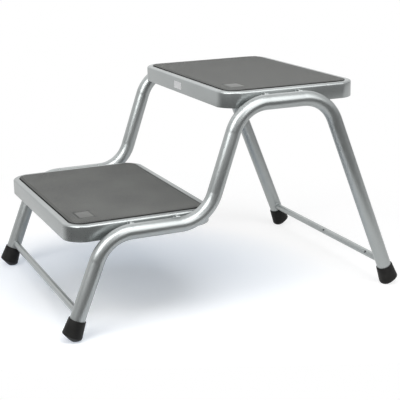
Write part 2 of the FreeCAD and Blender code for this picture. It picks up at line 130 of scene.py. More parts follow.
# Rubber feet, along the leg from where its axis meets the floor
FOOT_SIDES = 48
FOOT_BORE = 14.1 * MM
FOOT_TOP_RADIUS = 16.1 * MM
FOOT_BASE_RADIUS = 18.7 * MM
FOOT_SLEEVE = 29.5 * MM
FOOT_DOME_HEIGHT = 12 * MM
FOOT_FLAT = 1.2 * MM
FOOT_BASE_THICKNESS = 14 * MM
FOOT_LIP = 0.6 * MM
SOLE_DEPTH = 11.7 * MM
SOLE_SHIFT = 4.9 * MM
SOLE_FULLNESS = 1.54
SOLE_STEPS = 12

# Blank sticker on the upper pan's front skirt
STICKER_SIZE = Vector((35 * MM, 14 * MM))
STICKER_MIDDLE = (-10 * MM, 392.2 * MM)
STICKER_CORNER = 1.2 * MM
STICKER_THICKNESS = 0.2 * MM

SMOOTH_ANGLE = math.radians(35)
WELD_SMOOTH_ANGLE = math.radians(60)
FOLD_ANGLE = math.radians(50)
NEAR = 1e-5


# Small helpers for modelling by hand

def put_down():
    """Leave edit mode with nothing selected."""
    if bpy.context.mode != "OBJECT":
        bpy.ops.object.mode_set(mode="OBJECT")
    bpy.ops.object.select_all(action="DESELECT")


def pick_up(piece):
    """Select one piece alone, in object mode."""
    put_down()
    piece.select_set(True)
    bpy.context.view_layer.objects.active = piece


def named(name):
    """Name the primitive that was just added."""
    piece = bpy.context.object
    piece.name = name
    piece.data.name = name
    return piece


def settle(piece):
    """Put a piece's place into its mesh."""
    pick_up(piece)
    bpy.ops.object.transform_apply(location=True, rotation=True, scale=True)


def open_up(piece, kind="VERT"):
    """Enter edit mode with all of the piece selected."""
    pick_up(piece)
    bpy.ops.object.mode_set(mode="EDIT")
    bpy.ops.mesh.select_mode(type=kind)
    bpy.ops.mesh.select_all(action="SELECT")


def edit_mesh(piece):
    mesh = bmesh.from_edit_mesh(piece.data)
    mesh.verts.ensure_lookup_table()
    mesh.edges.ensure_lookup_table()
    mesh.faces.ensure_lookup_table()
    return mesh


def choose(piece, kind, wanted):
    """Select the vertices, edges or faces that pass a test, and nothing else."""
    bpy.ops.mesh.select_mode(type=kind)
    bpy.ops.mesh.select_all(action="DESELECT")
    mesh = edit_mesh(piece)
    mesh.normal_update()
    for part in {"VERT": mesh.verts, "EDGE": mesh.edges, "FACE": mesh.faces}[kind]:
        if wanted(part):
            part.select_set(True)
    mesh.select_flush_mode()
    bmesh.update_edit_mesh(piece.data)


def chosen_middle(piece):
    points = [vertex.co for vertex in edit_mesh(piece).verts if vertex.select]
    return sum(points, Vector()) / len(points)


def draw_out(step):
    """Extrude what is selected by a step."""
    bpy.ops.mesh.extrude_region_move(TRANSFORM_OT_translate={"value": step})


def widen(piece, factor):
    """Scale what is selected about its own middle."""
    bpy.ops.transform.resize(value=(factor, factor, factor), center_override=chosen_middle(piece))


def shift_points(piece, new_place):
    """Move each vertex to where a rule puts it."""
    mesh = edit_mesh(piece)
    for vertex in mesh.verts:
        vertex.co = new_place(vertex.co)
    bmesh.update_edit_mesh(piece.data)


def weld_and_face_out():
    """Merge doubles and point all faces outwards."""
    bpy.ops.mesh.select_all(action="SELECT")
    bpy.ops.mesh.remove_doubles(threshold=NEAR)
    bpy.ops.mesh.normals_make_consistent(inside=False)


def finish_with(piece, kind, **settings):
    """Add a modifier with these settings and apply it."""
    pick_up(piece)
    modifier = piece.modifiers.new(kind.title(), kind)
    for name, value in settings.items():
        setattr(modifier, name, value)
    bpy.ops.object.modifier_apply(modifier=modifier.name)


def give_wall(piece, thickness):
    """Give a sheet its thickness, inwards from the modelled face."""
    finish_with(piece, "SOLIDIFY", thickness=thickness, offset=-1, use_even_offset=True)


def soften_edges(piece, width, segments=2):
    finish_with(piece, "BEVEL", width=width, segments=segments, limit_method="ANGLE",
                angle_limit=FOLD_ANGLE, harden_normals=False)


def smooth(piece, angle=SMOOTH_ANGLE):
    pick_up(piece)
    bpy.ops.object.shade_smooth_by_angle(angle=angle)
    put_down()


def copy_of(piece, name, matrix):
    """A copy with its own mesh, moved by a matrix."""
    twin = piece.copy()
    twin.data = piece.data.copy()
    twin.name = name
    twin.data.name = name
    bpy.context.scene.collection.objects.link(twin)
    twin.data.transform(matrix)
    return twin


def drop(piece):
    bpy.data.objects.remove(piece, do_unlink=True)


def join_up(pieces, name):
    """Join pieces into one mesh."""
    pick_up(pieces[0])
    for piece in pieces[1:]:
        piece.select_set(True)
    bpy.ops.object.join()
    joined = named(name)
    put_down()
    return joined


def fit_to_frame(piece, slot, finish, *nodes):
    """Give a piece its finish and body, and let it stand for CAD nodes."""
    piece.data.materials.clear()
    piece.data.materials.append(finish)
    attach(piece, BODY)
    if nodes:
        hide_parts(*nodes)
    return piece


# Side tubes

def tube_corners():
    """Y and Z of the centre line's corners, from where the front leg meets the floor to the rear leg."""
    front_run = LOWER_RAIL_HEIGHT * math.tan(LEAN["front"])
    riser_run = (UPPER_RAIL_HEIGHT - LOWER_RAIL_HEIGHT) * math.tan(LEAN["riser"])
    rear_run = UPPER_RAIL_HEIGHT * math.tan(LEAN["rear"])
    runs = [front_run, LOWER_RAIL_LENGTH, riser_run, UPPER_RAIL_LENGTH, rear_run]
    heights = [0, LOWER_RAIL_HEIGHT, LOWER_RAIL_HEIGHT, UPPER_RAIL_HEIGHT, UPPER_RAIL_HEIGHT, 0]
    places = [-sum(runs) / 2]
    for run in runs:
        places.append(places[-1] + run)
    return [Vector((place, height)) for place, height in zip(places, heights)]


CORNERS = tube_corners()
FLOOR_PLACE = {"front": CORNERS[0].x, "rear": CORNERS[-1].x}


def rail_place(side):
    """X of a side's rail and legs."""
    return RAIL_OFFSET if side == "right" else -RAIL_OFFSET


def in_plane(flat):
    """A direction in the tube's own plane, as one in space."""
    return Vector((0, flat.x, flat.y))


def foot_heights(end):
    """Heights along a leg of the foot's dome centre, dome radius, base edge, top and bore floor."""
    dome_radius = (FOOT_BASE_RADIUS ** 2 + FOOT_DOME_HEIGHT ** 2) / (2 * FOOT_DOME_HEIGHT)
    centre = (dome_radius - FOOT_FLAT) / math.cos(LEAN[end])
    base = centre - dome_radius + FOOT_DOME_HEIGHT
    return centre, dome_radius, base, base + FOOT_SLEEVE, centre - dome_radius + FOOT_BASE_THICKNESS


def mark_ring(piece, heading):
    """A shallow ring that the bending die pressed where a bend begins or ends."""
    draw_out(heading * DIE_MARK_WIDTH)
    widen(piece, 1 - DIE_MARK_DEPTH)
    draw_out(heading * DIE_MARK_WIDTH)
    widen(piece, 1 / (1 - DIE_MARK_DEPTH))


def side_tube(side):
    """A ring of tube drawn up the front leg, round four bends and down the rear leg."""
    x = rail_place(side)
    headings = [(after - before).normalized() for before, after in zip(CORNERS, CORNERS[1:])]
    start = CORNERS[0] + headings[0] * (foot_heights("front")[4] + WASHER_THICKNESS)
    end = CORNERS[-1] - headings[-1] * (foot_heights("rear")[4] + WASHER_THICKNESS)
    put_down()
    bpy.ops.mesh.primitive_circle_add(
        vertices=TUBE_SIDES, radius=TUBE_RADIUS, fill_type="NOTHING",
        location=(x, start.x, start.y), rotation=(-LEAN["front"], 0, 0))
    tube = named(f"{side}_bent_tube")
    settle(tube)
    open_up(tube)
    here = start
    bends = []
    for corner, heading, following in zip(CORNERS[1:-1], headings, headings[1:]):
        turn = math.atan2(heading.y, heading.x) - math.atan2(following.y, following.x)
        used_up = BEND_RADIUS * math.tan(abs(turn) / 2)
        before = corner - heading * used_up
        inward = Vector((heading.y, -heading.x)) * math.copysign(1, turn)
        centre = before + inward * BEND_RADIUS
        step = in_plane(heading)
        draw_out(step * ((before - here).length - 2 * DIE_MARK_WIDTH))
        mark_ring(tube, step)
        bpy.ops.mesh.spin(steps=BEND_STEPS, angle=turn, center=(x, centre.x, centre.y), axis=(1, 0, 0))
        mark_ring(tube, in_plane(following))
        here = corner + following * (used_up + 2 * DIE_MARK_WIDTH)
        bends.append((centre, corner, abs(turn)))
    draw_out(in_plane(headings[-1]) * (end - here).length)
    weld_and_face_out()
    shift_points(tube, lambda place: flattened(place, x, bends))
    give_wall(tube, TUBE_WALL)
    smooth(tube)
    return tube


def flattened(place, x, bends):
    """Where a point of the tube goes as the bends flatten a little in their own plane."""
    flat = Vector((place.y, place.z))
    for centre, corner, turn in bends:
        reach = flat - centre
        if abs(reach.length - BEND_RADIUS) > 1.2 * TUBE_RADIUS:
            continue
        away = reach.angle(corner - centre)
        if away > turn / 2:
            continue
        share = math.cos(math.pi * away / turn) ** 2
        radius = BEND_RADIUS + (reach.length - BEND_RADIUS) * (1 - BEND_FLATTEN * share)
        flat = centre + reach.normalized() * radius
        wide = x + (place.x - x) * (1 + BEND_SPREAD * share)
        return Vector((wide, flat.x, flat.y))
    return place


# Step pans and stiffeners

def press_pan(step):
    """A sheet with round corners: its middle pressed down, its border drawn down to a skirt."""
    low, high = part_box(f"{step}_step_pan")
    middle = (low + high) / 2
    rim = high.z
    put_down()
    bpy.ops.mesh.primitive_plane_add(size=1, location=(middle.x, middle.y, rim))
    pan = named(f"{step}_pressed_pan")
    pan.scale = (high.x - low.x, high.y - low.y, 1)
    settle(pan)
    open_up(pan)
    bpy.ops.mesh.bevel(offset=PAN_CORNER, segments=PAN_CORNER_STEPS, profile=PAN_CORNER_PROFILE,
                       affect="VERTICES")
    choose(pan, "FACE", lambda face: True)
    bpy.ops.mesh.inset(thickness=RIM_WIDTH)
    draw_out((0, 0, -RECESS_DEPTH))
    choose(pan, "EDGE", lambda edge: edge.is_boundary)
    draw_out((0, 0, low.z - rim))
    deck = rim - RECESS_DEPTH

    def fold_at(edge, height, floor):
        """True for a fold at a height, between a level face and one that goes down or up to a floor."""
        if len(edge.link_faces) != 2:
            return False
        level = all(abs(vertex.co.z - height) < NEAR for vertex in edge.verts)
        ends = [min(vertex.co.z for vertex in face.verts) for face in edge.link_faces]
        slopes = sorted(abs(face.normal.z) for face in edge.link_faces)
        return level and slopes[0] < 0.5 < slopes[1] and abs(min(ends) - floor) < NEAR

    choose(pan, "EDGE", lambda edge: fold_at(edge, rim, low.z))
    bpy.ops.mesh.bevel(offset=RIM_EDGE_RADIUS, segments=RIM_EDGE_STEPS, affect="EDGES")
    choose(pan, "EDGE", lambda edge: fold_at(edge, rim, deck))
    bpy.ops.mesh.bevel(offset=RECESS_LIP_RADIUS, segments=4, affect="EDGES")
    choose(pan, "EDGE", lambda edge: fold_at(edge, deck, deck))
    bpy.ops.mesh.bevel(offset=RECESS_LIP_RADIUS, segments=3, affect="EDGES")
    weld_and_face_out()
    half = (high - low) / 2

    def is_draw_line(edge):
        """True for the upright lines where the press drew a corner out of a straight skirt."""
        near, far = (vertex.co - middle for vertex in edge.verts)
        upright = abs(near.z - far.z) > NEAR and (near - far).xy.length < NEAR
        across = abs(abs(near.x) - half.x + PAN_CORNER) < NEAR and abs(abs(near.y) - half.y) < NEAR
        return upright and across

    choose(pan, "EDGE", is_draw_line)
    bpy.ops.mesh.mark_sharp()
    give_wall(pan, SHEET)
    soften_edges(pan, RAW_EDGE_RADIUS)
    smooth(pan)
    return pan


def fold_stiffener(step):
    """A strip folded into a hat section across the underside of a pan."""
    low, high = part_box(f"{step}_pan_stiffener")
    length = high.x - low.x
    put_down()
    bpy.ops.mesh.primitive_plane_add(
        size=1, location=(0, low.y + STIFFENER_FLANGE / 2, high.z))
    hat = named(f"{step}_folded_stiffener")
    hat.scale = (length, STIFFENER_FLANGE, 1)
    settle(hat)
    open_up(hat)
    drop_down = low.z + SHEET - high.z
    across = high.y - low.y - 2 * STIFFENER_FLANGE
    choose(hat, "EDGE", lambda edge: all(abs(v.co.y - low.y - STIFFENER_FLANGE) < NEAR for v in edge.verts))
    for fold in ((0, 0, drop_down), (0, across, 0), (0, 0, -drop_down), (0, STIFFENER_FLANGE, 0)):
        draw_out(fold)
    choose(hat, "EDGE", lambda edge: len(edge.link_faces) == 2)
    bpy.ops.mesh.bevel(offset=STIFFENER_BEND, segments=5, affect="EDGES")
    weld_and_face_out()
    face_up = sum(face.normal.z for face in edit_mesh(hat).faces)
    if face_up < 0:
        bpy.ops.mesh.flip_normals()
    give_wall(hat, SHEET)
    soften_edges(hat, RAW_EDGE_RADIUS)
    smooth(hat)
    return hat


# Tread mats

def tread_mat(step):
    """A rubber mat scored in a diamond grid: whole diamonds rise as studs, and a plain panel stays."""
    low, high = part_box(f"{step}_tread_mat")
    middle = (low + high) / 2
    base = high.z + MAT_PROUD
    put_down()
    bpy.ops.mesh.primitive_plane_add(size=1, location=(middle.x, middle.y, base))
    mat = named(f"{step}_studded_mat")
    mat.scale = (high.x - low.x, high.y - low.y, 1)
    settle(mat)
    open_up(mat)
    bpy.ops.mesh.bevel(offset=MAT_CORNER, segments=10, affect="VERTICES")
    score_diamonds(middle, high - low)
    panel_middle = Vector((high.x - PANEL_FROM_SIDE, low.y + PANEL_FROM_FRONT))
    raise_panel(mat, panel_middle)
    raise_studs(mat, low, high, panel_middle)
    choose(mat, "EDGE", lambda edge: edge.is_boundary)
    draw_out((0, 0, low.z - base))
    bpy.ops.mesh.edge_face_add()
    weld_and_face_out()
    choose(mat, "EDGE", lambda edge: is_mat_edge(edge, base))
    bpy.ops.mesh.bevel(offset=MAT_EDGE_RADIUS, segments=2, affect="EDGES")
    smooth(mat)
    mark_paleness_and_shade(mat, base, panel_middle, PANEL_PALENESS[step])
    return mat


def mark_paleness_and_shade(mat, base, panel_middle, panel_paleness):
    """Note on each point how pale it is: the panel most, studs by height. The sides get minus one, which
    the material paints near black as painted shade for the dark line between mat and rim.
    """
    paleness_and_shade = mat.data.attributes.new("paleness_and_shade", "FLOAT", "POINT")
    for vertex, mark in zip(mat.data.vertices, paleness_and_shade.data):
        rise = min(max((vertex.co.z - base) / STUD_HEIGHT, 0), 1)
        on_panel = rise > 0 and within(vertex.co, panel_middle, PANEL_SIZE)
        on_side = vertex.co.z < base - MAT_EDGE_RADIUS / 2
        # Sides get minus one: the material paints them near black, painted shade for the dark line between
        # mat and rim.
        mark.value = -1 if on_side else panel_paleness if on_panel else rise


def score_diamonds(middle, size):
    """Cut the mat's sheet along two families of slanting lines."""
    reach = (size.x + size.y) / 2 / math.sqrt(2)
    lines = int(reach / STUD_PITCH)
    for slant in (Vector((1, 1, 0)).normalized(), Vector((1, -1, 0)).normalized()):
        for line in range(-lines, lines + 1):
            bpy.ops.mesh.select_all(action="SELECT")
            bpy.ops.mesh.bisect(plane_co=middle + slant * (line * STUD_PITCH), plane_no=slant)


def within(place, centre, size, spare=0.0):
    """True for a place inside a rectangle about a centre, grown by a spare margin."""
    return abs(place.x - centre.x) < size.x / 2 + spare and abs(place.y - centre.y) < size.y / 2 + spare


def raise_panel(mat, centre):
    """Cut a plain rectangle free of the scoring and raise it to the studs' height."""
    for along, half in ((Vector((1, 0, 0)), PANEL_SIZE.x / 2), (Vector((0, 1, 0)), PANEL_SIZE.y / 2)):
        for way in (-1, 1):
            choose(mat, "FACE", lambda face: within(face.calc_center_median(), centre, PANEL_SIZE,
                                                    PANEL_CUT_REACH))
            cut = Vector((centre.x, centre.y, 0)) + along * (way * half)
            bpy.ops.mesh.bisect(plane_co=cut, plane_no=along)
    choose(mat, "FACE", lambda face: within(face.calc_center_median(), centre, PANEL_SIZE))
    bpy.ops.mesh.dissolve_faces()
    bpy.ops.mesh.inset(thickness=STUD_SLOPE, depth=STUD_HEIGHT * PANEL_RISE)


def raise_studs(mat, low, high, panel_middle):
    """Raise every whole diamond that is clear of the border and the panel."""
    whole = STUD_PITCH ** 2 * WHOLE_STUD
    field = Vector((high.x - low.x - 2 * MAT_BORDER, high.y - low.y - 2 * MAT_BORDER))
    field_middle = (low + high) / 2
    clear = PANEL_CLEAR + STUD_PITCH / 2

    def is_stud(face):
        spot = face.calc_center_median()
        if len(face.verts) != 4 or face.calc_area() < whole:
            return False
        return within(spot, field_middle, field) and not within(spot, panel_middle, PANEL_SIZE, clear)

    choose(mat, "FACE", is_stud)
    bpy.ops.mesh.inset(thickness=STUD_SLOPE, depth=STUD_HEIGHT, use_individual=True)


def is_mat_edge(edge, base):
    """True for the mat's outer top edge."""
    if len(edge.link_faces) != 2 or any(abs(vertex.co.z - base) > NEAR for vertex in edge.verts):
        return False
    slopes = sorted(abs(face.normal.z) for face in edge.link_faces)
    return slopes[0] < 0.1 and slopes[1] > 0.9


# Weld tabs

def weld_tab():
    """A tab between a rail, whose axis is the origin, and the skirt on its -X side, with its welds."""
    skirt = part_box("lower_step_pan")[1].x - RAIL_OFFSET
    middle = TAB_TOP - TAB_HEIGHT / 2
    put_down()
    bpy.ops.mesh.primitive_grid_add(
        x_subdivisions=1, y_subdivisions=TAB_ROWS, size=1,
        location=(skirt / 2, -TAB_THICKNESS / 2, middle), rotation=(math.pi / 2, 0, 0))
    tab = named("weld_tab")
    tab.scale = (-skirt, TAB_HEIGHT, 1)
    settle(tab)
    open_up(tab)
    shift_points(tab, lambda place: onto_rail(place, skirt))
    bpy.ops.mesh.select_all(action="SELECT")
    draw_out((0, TAB_THICKNESS, 0))
    weld_and_face_out()
    soften_edges(tab, TAB_EDGE_RADIUS)
    beads = []
    for face in (-TAB_THICKNESS / 2, TAB_THICKNESS / 2):
        beads.append(rail_bead(face))
        beads.append(skirt_bead(skirt, face))
    tab = join_up([tab, cap_bead()] + beads, "weld_tab")
    smooth(tab)
    return tab


def onto_rail(place, skirt):
    """Move the tab's rail side onto the rail's round side."""
    if place.x < skirt / 2:
        return place
    return Vector((-math.sqrt(TUBE_RADIUS ** 2 - place.z ** 2), place.y, place.z))


def rippled(piece, along):
    """Alternate rings of a bead swell and shrink, as weld ripples do."""
    mesh = edit_mesh(piece)
    rings = {}
    for vertex in mesh.verts:
        rings.setdefault(round(along(vertex.co) / (0.2 * MM)), []).append(vertex)
    for number, key in enumerate(sorted(rings)):
        ring = rings[key]
        centre = sum((vertex.co for vertex in ring), Vector()) / len(ring)
        factor = 1 - BEAD_RIPPLE if number % 2 else 1 + BEAD_RIPPLE
        for vertex in ring:
            vertex.co = centre + (vertex.co - centre) * factor
    bmesh.update_edit_mesh(piece.data)


def rail_bead(face):
    """A bead round the rail along one face of a tab."""
    top = math.asin(TAB_TOP / TUBE_RADIUS)
    bottom = math.asin((TAB_TOP - TAB_HEIGHT) / TUBE_RADIUS)
    put_down()
    bpy.ops.mesh.primitive_circle_add(
        vertices=BEAD_SIDES, radius=BEAD_RADIUS, fill_type="NGON",
        location=(-TUBE_RADIUS * math.cos(top), face, TUBE_RADIUS * math.sin(top)),
        rotation=(0, top, 0))
    bead = named("rail_bead")
    settle(bead)
    open_up(bead)
    bpy.ops.mesh.spin(steps=BEAD_STEPS, angle=top - bottom, center=(0, face, 0), axis=(0, 1, 0))
    weld_and_face_out()
    rippled(bead, lambda place: math.atan2(place.z, -place.x) * TUBE_RADIUS)
    bpy.ops.object.mode_set(mode="OBJECT")
    return bead


def cap_bead():
    """A drop of weld over a tab's top, from the skirt to the rail."""
    put_down()
    bpy.ops.mesh.primitive_uv_sphere_add(segments=20, ring_count=12, radius=1, location=CAP_PLACE)
    bead = named("cap_bead")
    bead.scale = CAP_HALF_SIZE
    settle(bead)
    return bead


def skirt_bead(skirt, face):
    """A straight bead up the skirt along one face of a tab."""
    put_down()
    bpy.ops.mesh.primitive_circle_add(
        vertices=BEAD_SIDES, radius=BEAD_RADIUS * 0.9, fill_type="NGON",
        location=(skirt, face, TAB_TOP - TAB_HEIGHT))
    bead = named("skirt_bead")
    settle(bead)
    open_up(bead)
    for _ in range(BEAD_STEPS):
        draw_out((0, 0, TAB_HEIGHT / BEAD_STEPS))
    weld_and_face_out()
    rippled(bead, lambda place: place.z)
    bpy.ops.object.mode_set(mode="OBJECT")
    return bead


# Stretchers

def stretcher_axis(end):
    """Y and Z of a stretcher's axis."""
    low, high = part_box(f"{end}_stretcher")
    return (low.y + high.y) / 2, (low.z + high.z) / 2


def stretcher(end):
    """A thin tube whose ends are hollowed to the legs; the welds round its ends are made on their own."""
    place, height = stretcher_axis(end)
    put_down()
    bpy.ops.mesh.primitive_cylinder_add(
        vertices=STRETCHER_SIDES, radius=STRETCHER_RADIUS, depth=2 * RAIL_OFFSET, end_fill_type="NOTHING",
        location=(0, place, height), rotation=(0, math.pi / 2, 0))
    tube = named(f"{end}_welded_stretcher")
    settle(tube)
    open_up(tube)
    weld_and_face_out()
    shift_points(tube, lambda spot: onto_leg(spot, end, place, height))
    give_wall(tube, STRETCHER_WALL)
    if end == "rear":
        for along in VENT_PLACES:
            drill_vent(tube, Vector((along, place, height)))
    smooth(tube)
    return tube


def leg_gap(spot, end, place, height):
    """How far a spot lies from a leg's axis, square to it in the leg's own plane."""
    lean = LEAN[end] if end == "front" else -LEAN[end]
    return (spot.y - place) * math.cos(lean) - (spot.z - height) * math.sin(lean)


def onto_leg(spot, end, place, height):
    """Move a stretcher's end onto the leg's round side."""
    gap = leg_gap(spot, end, place, height)
    reach = RAIL_OFFSET - math.sqrt(TUBE_RADIUS ** 2 - gap ** 2)
    return Vector((math.copysign(reach, spot.x), spot.y, spot.z))


def drill_vent(tube, centre):
    """Drill a small hole through the wall that faces forward and up."""
    facing = Vector((0, -math.cos(VENT_TILT), math.sin(VENT_TILT)))
    put_down()
    bpy.ops.mesh.primitive_cylinder_add(
        vertices=VENT_SIDES, radius=VENT_RADIUS, depth=2 * STRETCHER_RADIUS,
        location=centre + facing * STRETCHER_RADIUS,
        rotation=(math.pi / 2 - VENT_TILT, 0, 0))
    drill = named("vent_drill")
    finish_with(tube, "BOOLEAN", object=drill, operation="DIFFERENCE", solver="EXACT")
    drop(drill)


def stretcher_weld(end, side):
    """A rippled weld ring where a stretcher meets a leg."""
    place, height = stretcher_axis(end)
    x = rail_place(side)
    put_down()
    bpy.ops.mesh.primitive_torus_add(
        location=(x, place, height), rotation=(0, math.pi / 2, 0), major_segments=72, minor_segments=12,
        major_radius=STRETCHER_RADIUS + 0.3 * MM, minor_radius=BEAD_RADIUS)
    ring = named(f"{end}_{side}_stretcher_weld")
    settle(ring)
    open_up(ring)

    def laid(spot):
        angle = math.atan2(spot.z - height, spot.y - place)
        ripple = 1 + BEAD_RIPPLE * math.sin(RING_RIPPLES * angle)
        middle = Vector((x, place + math.cos(angle) * STRETCHER_RADIUS,
                         height + math.sin(angle) * STRETCHER_RADIUS))
        swollen = middle + (spot - middle) * ripple
        inset = math.sqrt(TUBE_RADIUS ** 2 - leg_gap(middle, end, place, height) ** 2)
        swollen.x -= math.copysign(inset, x)
        return swollen

    shift_points(ring, laid)
    weld_and_face_out()
    smooth(ring, WELD_SMOOTH_ANGLE)
    return ring


# Rubber feet

def sole_ring(share):
    """Depth below the base edge, radius and sideways shift of a ring of the lopsided sole."""
    angle = share * math.pi / 2
    depth = math.sin(angle) ** SOLE_FULLNESS
    shift = SOLE_SHIFT * (1 - (1 - depth) ** 2)
    return SOLE_DEPTH * depth, FOOT_BASE_RADIUS * math.cos(angle) ** SOLE_FULLNESS, shift


def foot_rings(end):
    """Radius, height and shift of each ring from the bore up over the lip and down to the sole."""
    base, top = foot_heights(end)[2:4]
    rings = [
        (FOOT_BORE, top - FOOT_LIP, 0),
        (FOOT_BORE + 0.4 * FOOT_LIP, top - 0.2 * FOOT_LIP, 0),
        (FOOT_BORE + FOOT_LIP, top, 0),
        (FOOT_TOP_RADIUS - FOOT_LIP, top, 0),
        (FOOT_TOP_RADIUS - 0.2 * FOOT_LIP, top - 0.25 * FOOT_LIP, 0),
        (FOOT_TOP_RADIUS, top - FOOT_LIP, 0),
    ]
    flank_steps = 6
    for step in range(1, flank_steps):
        share = step / flank_steps
        radius = FOOT_TOP_RADIUS + (FOOT_BASE_RADIUS - FOOT_TOP_RADIUS) * share
        rings.append((radius, top - FOOT_LIP - (FOOT_SLEEVE - FOOT_LIP) * share, 0))
    rings.append((FOOT_BASE_RADIUS, base + FOOT_LIP, 0))
    way = 1 if end == "front" else -1
    for step in range(1, SOLE_STEPS):
        depth, radius, shift = sole_ring(step / SOLE_STEPS)
        rings.append((radius, base - depth, shift * way))
    return rings


def rubber_foot(end):
    """Rings drawn from the bore's floor up to the mouth, over the lip and down to the lopsided sole."""
    put_down()
    height = foot_heights(end)[4]
    bpy.ops.mesh.primitive_circle_add(
        vertices=FOOT_SIDES, radius=FOOT_BORE, fill_type="NGON", location=(0, 0, height))
    foot = named("rubber_foot")
    settle(foot)
    open_up(foot)
    choose(foot, "EDGE", lambda edge: True)
    radius = FOOT_BORE
    shift = 0
    for next_radius, next_height, next_shift in foot_rings(end):
        draw_out((0, next_shift - shift, next_height - height))
        widen(foot, next_radius / radius)
        radius = next_radius
        height = next_height
        shift = next_shift
    bpy.ops.mesh.edge_face_add()
    weld_and_face_out()
    bpy.ops.object.mode_set(mode="OBJECT")
    lean = -LEAN[end] if end == "front" else LEAN[end]
    foot.data.transform(Matrix.Rotation(lean, 4, "X"))
    open_up(foot)
    bpy.ops.mesh.bisect(plane_co=(0, 0, 0), plane_no=(0, 0, 1), clear_inner=True, use_fill=True)
    weld_and_face_out()
    smooth(foot)
    return foot


# Sticker

def blank_sticker():
    """A blank paper sticker with round corners on the upper pan's front skirt."""
    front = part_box("upper_step_pan")[0].y
    put_down()
    bpy.ops.mesh.primitive_plane_add(
        size=1, location=(STICKER_MIDDLE[0], front, STICKER_MIDDLE[1]), rotation=(math.pi / 2, 0, 0))
    sticker = named("blank_sticker")
    sticker.scale = (STICKER_SIZE.x, STICKER_SIZE.y, 1)
    settle(sticker)
    open_up(sticker)
    bpy.ops.mesh.bevel(offset=STICKER_CORNER, segments=5, affect="VERTICES")
    bpy.ops.mesh.select_all(action="SELECT")
    draw_out((0, -STICKER_THICKNESS, 0))
    weld_and_face_out()
    smooth(sticker)
    return sticker


# Finishes

PAINT_DARK = (0.31, 0.328, 0.327)
PAINT_LIGHT = (0.39, 0.411, 0.409)
PAINT_ROUGHNESS = (0.27, 0.38)
MAT_DARK = (0.028, 0.030, 0.028)
MAT_LIGHT = (0.116, 0.119, 0.113)
# Paler colour for the stud tops, by their height, and for the plain panel.
MAT_PALE_TOP = (0.30, 0.303, 0.295)
# Near black for the mat's sides: painted shade for the dark line between mat and rim.
MAT_SIDE_SHADE = (0.008, 0.008, 0.008)
FOOT_DARK = (0.008, 0.008, 0.008)
FOOT_LIGHT = (0.018, 0.018, 0.017)
ZINC_DARK = (0.45, 0.45, 0.44)
ZINC_LIGHT = (0.6, 0.6, 0.59)
STICKER_DARK = (0.90, 0.91, 0.92)
STICKER_LIGHT = (0.95, 0.95, 0.95)


def new_finish(name):
    """A material with an empty node tree and a surface shader."""
    finish = bpy.data.materials.new(name)
    finish.use_nodes = True
    nodes = finish.node_tree.nodes
    nodes.clear()
    output = nodes.new("ShaderNodeOutputMaterial")
    surface = nodes.new("ShaderNodeBsdfPrincipled")
    finish.node_tree.links.new(surface.outputs["BSDF"], output.inputs["Surface"])
    return finish, finish.node_tree, surface


def node(tree, kind, **settings):
    made = tree.nodes.new(kind)
    for name, value in settings.items():
        setattr(made, name, value)
    return made


def link(tree, source, target):
    tree.links.new(source, target)


def ranged(tree, value, low, high, start=0.0, end=1.0):
    """A value from start to end, spread over low to high and held there."""
    made = node(tree, "ShaderNodeMapRange")
    made.inputs["From Min"].default_value = start
    made.inputs["From Max"].default_value = end
    made.inputs["To Min"].default_value = low
    made.inputs["To Max"].default_value = high
    link(tree, value, made.inputs["Value"])
    return made.outputs["Result"]


def sums(tree, how, first, second):
    """A sum on two values, either of which may be a plain number."""
    made = node(tree, "ShaderNodeMath", operation=how)
    for place, value in enumerate((first, second)):
        if isinstance(value, (int, float)):
            made.inputs[place].default_value = value
        else:
            link(tree, value, made.inputs[place])
    return made.outputs[0]


def blend_colours(tree, share, first, second):
    """A colour between two colours, either of which may come from another node."""
    made = node(tree, "ShaderNodeMix", data_type="RGBA")
    link(tree, share, made.inputs["Factor"])
    for socket, colour in ((made.inputs[6], first), (made.inputs[7], second)):
        if isinstance(colour, tuple):
            socket.default_value = (*colour, 1)
        else:
            link(tree, colour, socket)
    return made.outputs[2]


def new_group(name, inputs, outputs):
    """An empty node group whose sockets all hold numbers."""
    group = bpy.data.node_groups.new(name, "ShaderNodeTree")
    for label, value in inputs.items():
        socket = group.interface.new_socket(label, in_out="INPUT", socket_type="NodeSocketFloat")
        socket.default_value = value
    for label in outputs:
        group.interface.new_socket(label, in_out="OUTPUT", socket_type="NodeSocketFloat")
    start = group.nodes.new("NodeGroupInput")
    end = group.nodes.new("NodeGroupOutput")
    return group, start, end


def sprayed_paint_group():
    """Metal flake, the coat's orange peel and cloudy patches of thicker spray."""
    group, start, end = new_group(
        "sprayed_paint", {"Flake Scale": 1600.0, "Peel Scale": 330.0, "Cloud Scale": 9.0},
        ("Flake", "Peel", "Cloud"))
    place = node(group, "ShaderNodeTexCoord").outputs["Object"]
    cells = node(group, "ShaderNodeTexVoronoi", feature="F1")
    link(group, place, cells.inputs["Vector"])
    link(group, start.outputs["Flake Scale"], cells.inputs["Scale"])
    tint = node(group, "ShaderNodeSeparateColor")
    link(group, cells.outputs["Color"], tint.inputs["Color"])
    link(group, tint.outputs["Red"], end.inputs["Flake"])
    for label in ("Peel", "Cloud"):
        texture = node(group, "ShaderNodeTexNoise")
        texture.inputs["Detail"].default_value = 3.0
        link(group, place, texture.inputs["Vector"])
        link(group, start.outputs[f"{label} Scale"], texture.inputs["Scale"])
        link(group, texture.outputs["Fac"], end.inputs[label])
    return group


